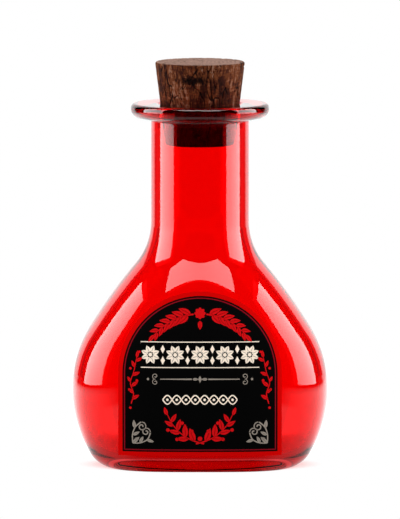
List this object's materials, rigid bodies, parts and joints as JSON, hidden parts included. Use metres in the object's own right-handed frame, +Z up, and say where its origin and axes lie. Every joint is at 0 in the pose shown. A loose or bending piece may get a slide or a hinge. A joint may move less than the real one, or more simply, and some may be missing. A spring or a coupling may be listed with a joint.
{
  "type": "potion bottle",
  "caption": "Flattened red glass flask with a straight neck, a flanged lip, a tapered cork that pulls out and an arched dark label on its broad front.",
  "frame": {"origin": "on the table plane, at the centre of the bottle's base", "axes": "+Z up along the neck; X along the flask's broad width; -Y is the broad front face with the label"},
  "size_m": [0.1, 0.0686, 0.1578],
  "materials": {
    "glass": "clear deep red glass, glossy and smooth",
    "cork": "dark stained cork, rough, with cracks down the grain",
    "label": "black printed paper with a dark red edge and a plain ornament"
  },
  "bodies": {
    "bottle": {"glass_bottle": "glass", "front_label": "label"},
    "stopper": {"cork_stopper": "cork"}
  },
  "joints": [
    {"name": "cork_pull", "type": "slide", "parent": "bottle", "child": "stopper", "axis": [0, 0, 1], "range_m": [0, 0.03]}
  ]
}
